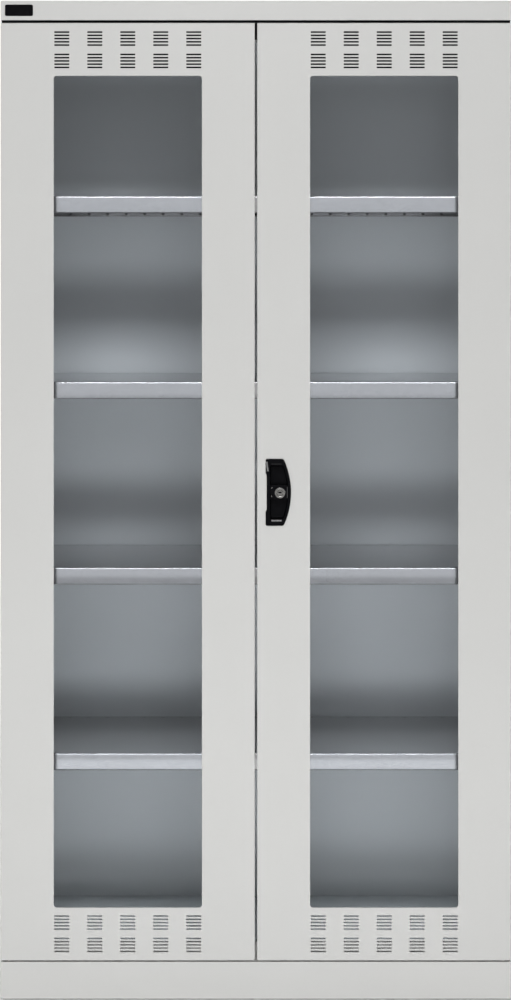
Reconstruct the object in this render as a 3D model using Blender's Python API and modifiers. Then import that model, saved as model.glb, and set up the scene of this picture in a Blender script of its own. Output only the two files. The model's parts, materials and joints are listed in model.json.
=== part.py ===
"""Two-door sheet-metal cabinet with clear polycarbonate door panes.

Metres, +Z up, +X to the right, the doors face -Y. The origin is on the floor,
under the middle of the whole cabinet. Every sub-part is an object of its own.
"""

import math

import bmesh
import bpy
from mathutils import Matrix, Vector

# Overall size
cabinet_width = 1.023
cabinet_depth = 0.555
cabinet_height = 2.0

# Sheet, folds and running gaps
carcass_sheet = 0.001
door_sheet = 0.001
shelf_sheet = 0.001
fold_radius = 0.0015
shelf_fold_radius = 0.0024
seat_gap = 0.0003
cut_overrun = 0.004

# Top cap and plinth, which stand flush with the closed doors
cap_height = 0.039
plinth_height = 0.0747
rail_lip = 0.045
side_lip = 0.030
rear_lip = 0.015
foot_lip = 0.018

# Doors
door_depth = 0.020
door_centre_gap = 0.0046
door_top_gap = 0.0048
door_bottom_gap = 0.0024
door_lip = 0.018
window_margin = 0.106
window_corner = 0.006

# Vents, in groups above and below each window
vent_length = 0.030
vent_height = 0.0033
vent_row_pitch = 0.0065
vent_column_pitch = 0.0661
vent_edge_distance = 0.0315
vent_group_pitch = 0.0448
vent_rows = 5
vent_columns = 5

# Panes and the pressed frames that hold them
pane_thickness = 0.003
pane_overlap = 0.012
pane_frame_sheet = 0.001

# Front frame of the carcass
frame_setback = 0.004
rail_depth = 0.020
header_height = 0.040
sill_height = 0.0353
jamb_width = 0.030
jamb_lip = 0.015
side_rear_return = 0.020
back_flange = 0.012
floor_height = 0.091
floor_lip = 0.012

# Slotted uprights and the hook clips in them
upright_width = 0.030
upright_depth = 0.012
front_upright_setback = 0.050
rear_upright_clearance = 0.018
upright_slot_width = 0.012
upright_slot_height = 0.008
slots_per_shelf_pitch = 2
clip_width = 0.010
clip_sheet = 0.0015
clip_ledge = 0.0135
clip_rise = 0.020
clip_hook = 0.006

# Shelves
shelf_count = 4
first_shelf_height = 0.485
shelf_pitch = 0.375
shelf_setback = 0.045
shelf_rear_gap = 0.016
shelf_flange = 0.034
shelf_lip = 0.015
shelf_end_lip = 0.012
shelf_hole = 0.0047
shelf_hole_pitch = 0.0405
shelf_hole_inset = 0.019
shelf_slot_width = 0.005
shelf_slot_height = 0.012
shelf_slot_rise = 0.003

# Hinge pins in the outer corners and the bushes that turn on them
hinge_side_inset = 0.0083
hinge_front_inset = 0.010
pin_radius = 0.003
pin_head_radius = 0.0055
pin_head = 0.002
pin_reach = 0.010
pin_clearance = 0.0002
bush_flange_radius = 0.0062
bush_sleeve_radius = 0.0045
bush_sleeve = 0.008

# Recessed D-shaped handle in the right door
handle_edge_distance = 0.0169
handle_centre_height = 1.0155
handle_height = 0.134
handle_end_width = 0.036
handle_middle_width = 0.051
handle_corner = 0.004
handle_waist = 0.0022
handle_waist_height = 0.068
handle_waist_slope = 0.006
handle_proud = 0.003
handle_edge_round = 0.0012
handle_flange = 0.003
handle_body_taper = 0.002
handle_recess_depth = 0.0145
handle_floor_wall = 0.0015
rim_flat_side = 0.0085
rim_bowed_side = 0.005
rim_end = 0.0095
recess_side_taper = 0.002
recess_end_taper = 0.007

# Lock: housing, cylinder, plug and cam
lock_edge_distance = 0.0458
housing_height = 0.0285
housing_setback = 0.0015
housing_round = 0.001
housing_lock_offset = 0.0012
cylinder_head_radius = 0.0108
cylinder_radius = 0.009
cylinder_reach = 0.0225
cylinder_bore = 0.0064
cylinder_clearance = 0.0003
nut_radius = 0.0135
nut_thickness = 0.0037
plug_clearance = 0.0002
plug_end = 0.0237
plug_neck_radius = 0.004
plug_rivet_radius = 0.0052
plug_rivet = 0.0013
key_slot_width = 0.0070
key_slot_height = 0.0025
key_slot_depth = 0.008
cam_radius = 0.0145
cam_front = 0.024
cam_thickness = 0.003
cam_tongue = 0.060
cam_tongue_width = 0.016
cam_pin_circle = 0.010
cam_pin_radius = 0.0025
lock_turn_angle = math.radians(90)

# Lock rods, their guides, the stiffener that carries them and the keeper
rod_front = 0.029
rod_thickness = 0.003
rod_width = 0.012
rod_tip_gap = 0.006
rod_tip_chamfer = 0.003
rod_hole_clearance = 0.001
yoke_width = 0.0151
yoke_height = 0.0125
yoke_slot_clearance = 0.0006
guide_width = 0.022
guide_height = 0.020
guide_back_wall = 0.0025
guide_clearance = 0.0004
guide_end_distance = 0.150
stiffener_sheet = 0.0012
stiffener_edge_distance = 0.002
stiffener_width = 0.082
stiffener_foot = 0.012
stiffener_end_gap = 0.0008
keeper_width = 0.014
keeper_height = 0.050
keeper_edge_distance = 0.002
keeper_thickness = 0.0033
keeper_round = 0.001

# Facet counts
turned_steps = 12
lock_steps = 20
fold_segments = 2
keeper_segments = 1
corner_segments = 3
handle_corner_steps = 3
handle_arc_steps = 8
hole_sides = 4
crease_angle = math.radians(40)

# Planes that several pieces share
half_width = cabinet_width / 2
front = -(cabinet_depth - handle_proud) / 2
rear = front + cabinet_depth
cap_bottom = cabinet_height - cap_height
door_back = front + door_depth
frame_front = door_back + frame_setback
rail_back = frame_front + rail_depth
door_bottom = plinth_height + door_bottom_gap
door_top = cap_bottom - door_top_gap
door_height = door_top - door_bottom
door_middle_height = door_bottom + door_height / 2
door_width = (cabinet_width - door_centre_gap) / 2
window_width = door_width - 2 * window_margin
window_height = door_height - 2 * window_margin
hinge_x = half_width - hinge_side_inset
hinge_y = front + hinge_front_inset
header_bottom = cap_bottom - seat_gap - header_height
sill_top = plinth_height + seat_gap + sill_height
side_inside = half_width - carcass_sheet
panel_bottom = plinth_height + seat_gap
panel_height = cap_bottom - plinth_height - 2 * seat_gap
back_front_face = rear - 2 * carcass_sheet - seat_gap
upright_face = side_inside - seat_gap - upright_depth
shelf_end = upright_face - clip_sheet - 2 * seat_gap
lock_x = door_centre_gap / 2 + lock_edge_distance
lock_z = handle_centre_height - housing_lock_offset
handle_x = door_centre_gap / 2 + handle_edge_distance
stiffener_back = door_back + seat_gap + stiffener_sheet

# Travel of the two rods: each yoke follows a cam pin through the lock's turn
rod_travel = 2 * cam_pin_circle * math.sin(lock_turn_angle / 2)
yoke_near = cam_pin_circle * math.cos(lock_turn_angle / 2)
yoke_offset = (yoke_near + cam_pin_circle) / 2
yoke_slot_width = cam_pin_circle - yoke_near + 2 * (cam_pin_radius + yoke_slot_clearance)
yoke_slot_height = 2 * (cam_pin_radius + yoke_slot_clearance)


def clear_scene():
    """Remove every object that the opened file holds."""
    for obj in list(bpy.data.objects):
        bpy.data.objects.remove(obj, do_unlink=True)


clear_scene()
cabinet = bpy.data.collections.new("polycarbonate_door_cabinet")
cutters = bpy.data.collections.new("cutters")
bpy.context.scene.collection.children.link(cabinet)
bpy.context.scene.collection.children.link(cutters)


def principled(name, colour, roughness, metallic=0.0, transmission=0.0):
    """A material with one Principled shader."""
    material = bpy.data.materials.new(name)
    material.use_nodes = True
    shader = material.node_tree.nodes["Principled BSDF"]
    shader.inputs["Base Color"].default_value = (*colour, 1)
    shader.inputs["Roughness"].default_value = roughness
    shader.inputs["Metallic"].default_value = metallic
    shader.inputs["Transmission Weight"].default_value = transmission
    return material


powder_coat = principled("light_grey_powder_coat", (0.60, 0.60, 0.59), 0.45)
galvanised = principled("galvanised_steel", (0.52, 0.54, 0.56), 0.38, metallic=1)
zinc_plate = principled("zinc_plated_steel", (0.62, 0.62, 0.60), 0.30, metallic=1)
polycarbonate = principled("clear_polycarbonate", (0.90, 0.92, 0.93), 0.04, transmission=1)
black_nylon = principled("black_nylon", (0.008, 0.008, 0.009), 0.18)
bush_plastic = principled("black_bush_plastic", (0.02, 0.02, 0.02), 0.55)
nickel = principled("nickel_plate", (0.66, 0.65, 0.62), 0.20, metallic=1)


def joint_empty(name, location, parent=None):
    """An empty on a joint's axis, for the pieces that turn or slide with it."""
    empty = bpy.data.objects.new(name, None)
    empty.empty_display_size = handle_height
    cabinet.objects.link(empty)
    empty.location = location
    carry(empty, parent)
    return empty


def carry(obj, parent):
    """Parent an object, keeping its place in the world."""
    if parent is None:
        return
    obj.parent = parent
    bpy.context.view_layer.update()
    obj.matrix_parent_inverse = parent.matrix_world.inverted()


def add_object(name, bm, location, material=None, parent=None):
    """Turn a bmesh into a named object: a part if it has a material, else a cutter."""
    mesh = bpy.data.meshes.new(name)
    bm.to_mesh(mesh)
    bm.free()
    obj = bpy.data.objects.new(name, mesh)
    obj.location = location
    if material is None:
        cutters.objects.link(obj)
        obj.display_type = "WIRE"
        obj.hide_render = True
    else:
        cabinet.objects.link(obj)
        mesh.materials.append(material)
    carry(obj, parent)
    return obj


def cube(size):
    """A box about the origin, as a bmesh."""
    bm = bmesh.new()
    bmesh.ops.create_cube(bm, size=1, matrix=Matrix.Diagonal((*size, 1)))
    return bm


def bevel(obj, width, segments=fold_segments, weighted=False):
    """Round an object's sharp edges, or only its weighted ones."""
    modifier = obj.modifiers.new("rounded_edges", "BEVEL")
    modifier.width = width
    modifier.segments = segments
    modifier.limit_method = "WEIGHT" if weighted else "ANGLE"
    modifier.angle_limit = crease_angle


def shade_round(mesh):
    """Shade a mesh smooth, except across its creases."""
    mesh.shade_smooth()
    mesh.set_sharp_from_angle(angle=crease_angle)


def thicken(obj, sheet):
    """Give an open or boxed surface its sheet, on the inner side."""
    modifier = obj.modifiers.new("sheet", "SOLIDIFY")
    modifier.thickness = sheet
    modifier.offset = -1
    modifier.use_even_offset = True


def cut(obj, cutter):
    """Take the cutter's volume out of a part."""
    modifier = obj.modifiers.new(cutter.name, "BOOLEAN")
    modifier.operation = "DIFFERENCE"
    modifier.solver = "EXACT"
    modifier.object = cutter
    carry(cutter, obj.parent)


def fuse(obj, other):
    """Join another solid to a part; the joined solid is kept as a guide."""
    modifier = obj.modifiers.new(other.name, "BOOLEAN")
    modifier.operation = "UNION"
    modifier.solver = "EXACT"
    modifier.object = other
    carry(other, obj.parent)


def box_cutter(name, low, high):
    """A cutter between two corners."""
    low, high = Vector(low), Vector(high)
    return add_object(name, cube(high - low), (low + high) / 2)


def pattern_cutter(name, size, centres):
    """One cutter with a box at each of the centres."""
    bm = bmesh.new()
    for centre in centres:
        matrix = Matrix.Translation(centre) @ Matrix.Diagonal((*size, 1))
        bmesh.ops.create_cube(bm, size=1, matrix=matrix)
    return add_object(name, bm, (0, 0, 0))


def round_cutter(name, radius, low, high, centres, axis="Z", sides=turned_steps):
    """One cutter with a round bar along the axis, from low to high, at each centre."""
    turn = {"Z": Matrix(), "Y": Matrix.Rotation(math.radians(90), 4, "X")}[axis]
    bm = bmesh.new()
    for centre in centres:
        middle = Vector(centre)
        middle["XYZ".index(axis)] = (low + high) / 2
        matrix = Matrix.Translation(middle) @ turn
        bmesh.ops.create_cone(bm, cap_ends=True, segments=sides, radius1=radius,
                              radius2=radius, depth=high - low, matrix=matrix)
    return add_object(name, bm, (0, 0, 0))


def sheet_box(name, low, high, sheet, material, rounded=None, parent=None, radius=fold_radius):
    """A hollow sheet box between two corners, still closed on all sides.

    rounded says of an edge's middle, as -1..1 shares of the half size, if it is a fold.
    """
    low, high = Vector(low), Vector(high)
    half = (high - low) / 2
    bm = cube(high - low)
    if rounded:
        weight = bm.edges.layers.float.new("bevel_weight_edge")
        for edge in bm.edges:
            middle = (edge.verts[0].co + edge.verts[1].co) / 2
            shares = [round(middle[i] / half[i]) for i in range(3)]
            edge[weight] = 1.0 if rounded(*shares) else 0.0
    obj = add_object(name, bm, (low + high) / 2, material, parent)
    if rounded:
        bevel(obj, radius, weighted=True)
    thicken(obj, sheet)
    return obj


def folded_sheet(name, view, path, length, location, sheet, material, parent=None,
                 radius=fold_radius):
    """A sheet folded along a path, with its thickness on the path's left.

    view is the side from which the path is drawn: "top" has X right and Y up,
    "front" has X right and Z up, "side" has Y right and Z up. The sheet runs
    for its length towards the viewer.
    """
    across, up, towards = {"top": ("X", "Y", Vector((0, 0, 1))),
                           "front": ("X", "Z", Vector((0, -1, 0))),
                           "side": ("Y", "Z", Vector((1, 0, 0)))}[view]
    bm = bmesh.new()
    corners = []
    for a, b in path:
        point = Vector()
        point["XYZ".index(across)] = a
        point["XYZ".index(up)] = b
        corners.append(bm.verts.new(point))
    edges = [bm.edges.new(pair) for pair in zip(corners, corners[1:])]
    first_run = corners[1].co - corners[0].co
    grown = bmesh.ops.extrude_edge_only(bm, edges=edges)["geom"]
    moved = [item for item in grown if isinstance(item, bmesh.types.BMVert)]
    bmesh.ops.translate(bm, verts=moved, vec=towards * length)
    bm.normal_update()
    first_face = corners[0].link_faces[0]
    if first_face.normal.dot(first_run.cross(towards)) < 0:
        bmesh.ops.reverse_faces(bm, faces=bm.faces)
    obj = add_object(name, bm, location, material, parent)
    if radius:
        bevel(obj, radius)
    thicken(obj, sheet)
    return obj


def flat_plate(name, outline, thickness, location, material=None, parent=None):
    """A plate with an outline drawn from the front, running back from its location."""
    bm = bmesh.new()
    face = bm.faces.new([bm.verts.new((x, 0, z)) for x, z in outline])
    grown = bmesh.ops.extrude_face_region(bm, geom=[face])["geom"]
    moved = [item for item in grown if isinstance(item, bmesh.types.BMVert)]
    bmesh.ops.translate(bm, verts=moved, vec=(0, thickness, 0))
    bmesh.ops.recalc_face_normals(bm, faces=bm.faces)
    return add_object(name, bm, location, material, parent)


def turned(name, profile, location, material, parent=None, rotation=(0, 0, 0), bored=False,
           steps=turned_steps):
    """A turned piece: (radius, height) points down its outer side, closed if bored."""
    bm = bmesh.new()
    points = [bm.verts.new((radius, 0, height)) for radius, height in profile]
    pairs = list(zip(points, points[1:]))
    if bored:
        pairs.append((points[-1], points[0]))
    for pair in pairs:
        bm.edges.new(pair)
    obj = add_object(name, bm, location, material, parent)
    obj.rotation_euler = rotation
    screw = obj.modifiers.new("turned", "SCREW")
    screw.axis = "Z"
    screw.steps = steps
    screw.render_steps = steps
    screw.use_merge_vertices = True
    screw.merge_threshold = 0.00001
    whole = obj.evaluated_get(bpy.context.evaluated_depsgraph_get())
    mesh = bpy.data.meshes.new_from_object(whole)
    obj.modifiers.remove(screw)
    obj.data = mesh
    shade_round(mesh)
    return obj


def make_top_cap():
    """The boxed top, with lips under it that the frame hangs from."""
    cap = sheet_box("top_cap", (-half_width, front, cap_bottom),
                    (half_width, rear, cabinet_height), carcass_sheet, powder_coat,
                    rounded=lambda x, y, z: z > 0)
    cut(cap, box_cutter("top_cap_opening",
                        (side_lip - half_width, front + rail_lip, cap_bottom - cut_overrun),
                        (half_width - side_lip, rear - rear_lip,
                         cap_bottom + carcass_sheet + cut_overrun)))
    cut(cap, round_cutter("top_cap_pin_holes", pin_radius + pin_clearance,
                          cap_bottom - cut_overrun, cap_bottom + carcass_sheet + cut_overrun,
                          [(-hinge_x, hinge_y, 0), (hinge_x, hinge_y, 0)]))


def make_plinth():
    """The boxed foot, open above and below inside its lips."""
    plinth = sheet_box("plinth", (-half_width, front, 0), (half_width, rear, plinth_height),
                       carcass_sheet, powder_coat, rounded=lambda x, y, z: z < 0)
    cut(plinth, box_cutter("plinth_top_opening",
                           (side_lip - half_width, front + rail_lip,
                            plinth_height - carcass_sheet - cut_overrun),
                           (half_width - side_lip, rear - rear_lip,
                            plinth_height + cut_overrun)))
    cut(plinth, box_cutter("plinth_floor_opening",
                           (foot_lip - half_width, front + foot_lip, -cut_overrun),
                           (half_width - foot_lip, rear - foot_lip,
                            carcass_sheet + cut_overrun)))
    cut(plinth, round_cutter("plinth_pin_holes", pin_radius + pin_clearance,
                             plinth_height - carcass_sheet - cut_overrun,
                             plinth_height + cut_overrun,
                             [(-hinge_x, hinge_y, 0), (hinge_x, hinge_y, 0)]))


def make_side_panel(name, side):
    """A side panel, folded into a jamb at the front and a return at the rear."""
    depth = rear - frame_front
    path = [(side_rear_return, depth), (0, depth), (0, 0), (jamb_width, 0),
            (jamb_width, jamb_lip)]
    if side > 0:
        path = [(-x, y) for x, y in reversed(path)]
    folded_sheet(name, "top", path, panel_height,
                 (side * half_width, frame_front, panel_bottom), carcass_sheet, powder_coat)


def make_back_panel():
    """The back sheet, in front of the side panels' returns."""
    half = side_inside - seat_gap
    sheet_back = carcass_sheet
    path = [(half, -back_flange), (half, sheet_back), (-half, sheet_back),
            (-half, -back_flange)]
    folded_sheet("back_panel", "top", path, panel_height, (0, back_front_face, panel_bottom),
                 carcass_sheet, powder_coat)


def make_rail(name, height, bottom, hole_x, hole_in_top):
    """A channel behind the doors, with the hole that a lock rod enters."""
    half = half_width - jamb_width - seat_gap
    path = [(rail_depth, height), (0, height), (0, 0), (rail_depth, 0)]
    rail = folded_sheet(name, "side", path, 2 * half, (-half, frame_front, bottom),
                        carcass_sheet, powder_coat)
    if hole_in_top:
        low = bottom + height - carcass_sheet - cut_overrun
    else:
        low = bottom - cut_overrun
    high = low + carcass_sheet + 2 * cut_overrun
    reach = rod_width / 2 + rod_hole_clearance
    cut(rail, box_cutter(name + "_rod_hole",
                         (hole_x - reach, front + rod_front - rod_hole_clearance / 2, low),
                         (hole_x + reach, front + rod_front + rod_thickness + rod_hole_clearance,
                          high)))


def make_floor_pan():
    """The floor of the bottom compartment, a tray turned upside down."""
    half = side_inside - carcass_sheet - 2 * seat_gap
    back = back_front_face - seat_gap
    floor_front = rail_back + seat_gap
    pan = sheet_box("floor_pan", (-half, floor_front, panel_bottom), (half, back, floor_height),
                    carcass_sheet, powder_coat, rounded=lambda x, y, z: z > 0 and y != 0)
    cut(pan, box_cutter("floor_pan_opening",
                        (floor_lip - half, floor_front + floor_lip, panel_bottom - cut_overrun),
                        (half - floor_lip, back - floor_lip,
                         panel_bottom + carcass_sheet + cut_overrun)))


# Heights of the shelves and of the hook slots that carry their clips
shelf_heights = [first_shelf_height + shelf_pitch * i for i in range(shelf_count)]
clip_drop = shelf_flange + seat_gap + clip_sheet
hook_rise = clip_rise - clip_sheet
slot_floor_drop = clip_drop - hook_rise + seat_gap
upright_bottom = floor_height + seat_gap
upright_top = cap_bottom - seat_gap
front_upright_y = front + front_upright_setback
rear_upright_y = back_front_face - rear_upright_clearance - upright_width


def upright_slot_floors():
    """Lower edges of an upright's slots, in step with the shelf heights."""
    pitch = shelf_pitch / slots_per_shelf_pitch
    first = first_shelf_height - slot_floor_drop
    while first - pitch > upright_bottom + upright_slot_height:
        first -= pitch
    floors = []
    while first + 2 * upright_slot_height < upright_top:
        floors.append(first)
        first += pitch
    return floors


def make_upright(name, side, y):
    """A slotted channel on the inside of a side panel."""
    path = [(0, 0), (upright_depth, 0), (upright_depth, upright_width), (0, upright_width)]
    if side > 0:
        path = [(-x, y_step) for x, y_step in reversed(path)]
    x = side * (side_inside - seat_gap)
    upright = folded_sheet(name, "top", path, upright_top - upright_bottom,
                           (x, y, upright_bottom), carcass_sheet, galvanised)
    web = side * (upright_face + carcass_sheet / 2)
    size = (carcass_sheet + cut_overrun, upright_slot_width, upright_slot_height)
    centres = [(web, y + upright_width / 2, floor + upright_slot_height / 2)
               for floor in upright_slot_floors()]
    cut(upright, pattern_cutter(name + "_slots", size, centres))


def make_clip(name, side, y, shelf_height):
    """A strip hooked through an upright's slot, with a ledge for the shelf's end."""
    hook_back = clip_sheet + carcass_sheet + 2 * seat_gap
    path = [(-clip_ledge, 0), (clip_sheet, 0), (clip_sheet, hook_rise), (hook_back, hook_rise),
            (hook_back, hook_rise - clip_hook)]
    if side < 0:
        path = [(-x, z) for x, z in reversed(path)]
    x = side * (upright_face - seat_gap - clip_sheet)
    folded_sheet(name, "front", path, clip_width,
                 (x, y + (upright_width + clip_width) / 2, shelf_height - clip_drop),
                 clip_sheet, zinc_plate, radius=0)


def make_shelf(name, height):
    """A perforated shelf: flanges all round and a return lip under each."""
    shelf_front = front + shelf_setback
    shelf_rear = rear - shelf_rear_gap
    shelf = sheet_box(name, (-shelf_end, shelf_front, height - shelf_flange),
                      (shelf_end, shelf_rear, height), shelf_sheet, galvanised,
                      rounded=lambda x, y, z: y != 0 and z != 0, radius=shelf_fold_radius)
    cut(shelf, box_cutter(name + "_opening",
                          (shelf_end_lip - shelf_end, shelf_front + shelf_lip,
                           height - shelf_flange - cut_overrun),
                          (shelf_end - shelf_end_lip, shelf_rear - shelf_lip,
                           height - shelf_flange + shelf_sheet + cut_overrun)))
    reach = int((shelf_end - shelf_lip) / shelf_hole_pitch)
    steps = [shelf_hole_pitch * i for i in range(-reach, reach + 1)]
    rows = (shelf_front + shelf_hole_inset, shelf_rear - shelf_hole_inset)
    cut(shelf, round_cutter(name + "_holes", shelf_hole / 2, height - shelf_sheet - cut_overrun,
                            height + cut_overrun, [(x, y, 0) for y in rows for x in steps],
                            sides=hole_sides))
    slot_size = (shelf_slot_width, shelf_sheet + cut_overrun, shelf_slot_height)
    slot_z = height - shelf_flange + shelf_slot_rise + shelf_slot_height / 2
    cut(shelf, pattern_cutter(name + "_slots", slot_size,
                              [(x, shelf_rear - shelf_sheet / 2, slot_z) for x in steps]))


def make_hinge(name, side, upper, door_axis):
    """One pin in the cap or plinth, and the flanged bush in the door that turns on it."""
    seat = cap_bottom if upper else plinth_height
    door_edge = door_top if upper else door_bottom
    gap = door_top_gap if upper else door_bottom_gap
    spin = (0, 0, 0) if upper else (math.pi, 0, 0)
    head_seat = carcass_sheet + seat_gap
    shank_end = -(gap + pin_reach)
    turned(name + "_pin",
           [(0, head_seat + pin_head), (pin_head_radius, head_seat + pin_head),
            (pin_head_radius, head_seat), (pin_radius, head_seat), (pin_radius, shank_end),
            (0, shank_end)],
           (side * hinge_x, hinge_y, seat), zinc_plate, rotation=spin)
    bore = pin_radius + pin_clearance
    flange = gap - 2 * seat_gap
    turned(name + "_bush",
           [(bore, seat_gap + flange), (bush_flange_radius, seat_gap + flange),
            (bush_flange_radius, seat_gap), (bush_sleeve_radius, seat_gap),
            (bush_sleeve_radius, -bush_sleeve), (bore, -bush_sleeve)],
           (side * hinge_x, hinge_y, door_edge), bush_plastic, door_axis, spin, bored=True)


def vent_centres(door_x):
    """Middles of all vents of one door."""
    rows = []
    for group in range(2):
        group_distance = vent_edge_distance + vent_group_pitch * group
        for row in range(vent_rows):
            distance = group_distance + vent_row_pitch * (row - (vent_rows - 1) / 2)
            rows += [door_bottom + distance, door_top - distance]
    columns = [door_x + vent_column_pitch * (i - (vent_columns - 1) / 2)
               for i in range(vent_columns)]
    return [(x, front + door_sheet / 2, z) for x in columns for z in rows]


def window_cutter(name, door_x, low, high):
    """A cutter with rounded corners through the window."""
    bm = cube((window_width, high - low, window_height))
    along = [edge for edge in bm.edges
             if abs(edge.verts[0].co.y - edge.verts[1].co.y) > (high - low) / 2]
    bmesh.ops.bevel(bm, geom=along, offset=window_corner, segments=corner_segments,
                    affect="EDGES", profile=0.5)
    return add_object(name, bm, (door_x, (low + high) / 2, door_middle_height))


def make_door(name, side, axis):
    """Door skin with its window and vents, the pane and the frame behind it."""
    door_x = side * (door_centre_gap + door_width) / 2
    skin = sheet_box(name + "_skin", (door_x - door_width / 2, front, door_bottom),
                     (door_x + door_width / 2, door_back, door_top), door_sheet, powder_coat,
                     rounded=lambda x, y, z: y < 0, parent=axis)
    inner_width = door_width / 2 - door_lip
    cut(skin, box_cutter(name + "_back_opening",
                         (door_x - inner_width, door_back - door_sheet - cut_overrun,
                          door_bottom + door_lip),
                         (door_x + inner_width, door_back + cut_overrun, door_top - door_lip)))
    cut(skin, window_cutter(name + "_window", door_x, front - cut_overrun,
                            front + door_sheet + cut_overrun))
    cut(skin, pattern_cutter(name + "_vents",
                             (vent_length, door_sheet + cut_overrun, vent_height),
                             vent_centres(door_x)))
    for edge, place in (("upper", door_top), ("lower", door_bottom)):
        cut(skin, round_cutter(f"{name}_{edge}_bush_hole", bush_sleeve_radius + seat_gap,
                               place - cut_overrun, place + cut_overrun,
                               [(side * hinge_x, hinge_y, 0)]))

    pane_half_width = window_width / 2 + pane_overlap
    pane_half_height = window_height / 2 + pane_overlap
    pane_front = front + door_sheet + seat_gap
    pane_size = (2 * pane_half_width, pane_thickness, 2 * pane_half_height)
    add_object(name + "_pane", cube(pane_size),
               (door_x, pane_front + pane_thickness / 2, door_middle_height),
               polycarbonate, axis)

    wall = seat_gap + pane_frame_sheet
    frame_back = pane_front + pane_thickness + wall
    frame = sheet_box(name + "_pane_frame",
                      (door_x - pane_half_width - wall, pane_front,
                       door_middle_height - pane_half_height - wall),
                      (door_x + pane_half_width + wall, frame_back,
                       door_middle_height + pane_half_height + wall),
                      pane_frame_sheet, powder_coat, parent=axis)
    cut(frame, box_cutter(name + "_pane_seat",
                          (door_x - pane_half_width - seat_gap, pane_front - cut_overrun,
                           door_middle_height - pane_half_height - seat_gap),
                          (door_x + pane_half_width + seat_gap,
                           pane_front + pane_frame_sheet + seat_gap,
                           door_middle_height + pane_half_height + seat_gap)))
    cut(frame, window_cutter(name + "_frame_window", door_x, pane_front + pane_thickness,
                             frame_back + cut_overrun))
    return skin


def bent_corner(before, corner, after):
    """Points of a rounded corner, between a point before it and one after it."""
    points = []
    for i in range(handle_corner_steps + 1):
        t = i / handle_corner_steps
        points.append(tuple((1 - t) ** 2 * before[k] + 2 * t * (1 - t) * corner[k]
                            + t ** 2 * after[k] for k in range(2)))
    return points


def bow_arc(bowed_inset):
    """Centre and radius of the arc along the handle's bowed side."""
    bow = handle_middle_width - handle_end_width
    radius = ((handle_height / 2) ** 2 + bow ** 2) / (2 * bow) - bowed_inset
    return handle_middle_width - bowed_inset - radius, radius


def d_outline(flat_inset, bowed_inset, end_inset, waist=0):
    """The handle's D, inset from its full outline, anticlockwise from the front.

    The flat side is at x = 0, drawn in by the waist over its middle. The bowed
    side is an arc through the two ends of the D and its widest point.
    """
    left = flat_inset
    top = handle_height / 2 - end_inset
    centre, radius = bow_arc(bowed_inset)
    half_angle = math.asin(top / radius)
    end_x = centre + radius * math.cos(half_angle)
    near = half_angle - handle_corner / radius
    arc = []
    for i in range(handle_arc_steps + 1):
        angle = near * (2 * i / handle_arc_steps - 1)
        arc.append((centre + radius * math.cos(angle), radius * math.sin(angle)))
    r = handle_corner
    points = bent_corner((left, r - top), (left, -top), (left + r, -top))
    points += bent_corner((end_x - r, -top), (end_x, -top), arc[0])
    points += arc[1:-1]
    points += bent_corner(arc[-1], (end_x, top), (end_x - r, top))
    points += bent_corner((left + r, top), (left, top), (left, top - r))
    waist_end = handle_waist_height / 2
    waist_start = waist_end + handle_waist_slope
    points += [(left, waist_start), (left + waist, waist_end), (left + waist, -waist_end),
               (left, -waist_start)]
    return points


def loft(name, rings, location, material=None, parent=None):
    """A solid through rings of (depth, outline), closed at both ends."""
    bm = bmesh.new()
    loops = [[bm.verts.new((x, y, z)) for x, z in outline] for y, outline in rings]
    for near, far in zip(loops, loops[1:]):
        for i in range(len(near)):
            j = (i + 1) % len(near)
            bm.faces.new((near[i], near[j], far[j], far[i]))
    bm.faces.new(loops[0])
    bm.faces.new(loops[-1])
    bmesh.ops.recalc_face_normals(bm, faces=bm.faces)
    obj = add_object(name, bm, location, material, parent)
    shade_round(obj.data)
    return obj


def make_handle(axis, door_skin):
    """The recessed handle: a flange on the door's face and a tapered dish behind it."""
    place = (handle_x, front, handle_centre_height)
    body_back = handle_recess_depth + handle_floor_wall
    body = handle_flange + handle_body_taper
    r = handle_edge_round
    rim = (rim_flat_side, rim_bowed_side, rim_end)
    floor = (rim_flat_side + recess_side_taper, rim_bowed_side + recess_side_taper,
             rim_end + recess_end_taper)
    shell = loft("handle_shell", [
        (body_back, d_outline(body, body, body)),
        (-seat_gap, d_outline(handle_flange, handle_flange, handle_flange)),
        (-seat_gap, d_outline(0, 0, 0, handle_waist)),
        (r - handle_proud, d_outline(0, 0, 0, handle_waist)),
        (-handle_proud, d_outline(r, r, r, handle_waist)),
        (-handle_proud, d_outline(rim[0] - r, rim[1] - r, rim[2] - r)),
        (r - handle_proud, d_outline(*rim)),
        (handle_recess_depth, d_outline(*floor)),
    ], place, black_nylon, axis)
    cut(shell, round_cutter("handle_shell_lock_hole", cylinder_radius + cylinder_clearance,
                            front + handle_recess_depth - cut_overrun,
                            front + body_back + cut_overrun, [(lock_x, 0, lock_z)], axis="Y",
                            sides=lock_steps))
    hole_inset = handle_flange - seat_gap
    hole = d_outline(hole_inset, hole_inset, hole_inset)
    cut(door_skin, loft("right_door_handle_hole", [(-cut_overrun, hole),
                                                   (door_sheet + cut_overrun, hole)], place))


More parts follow.
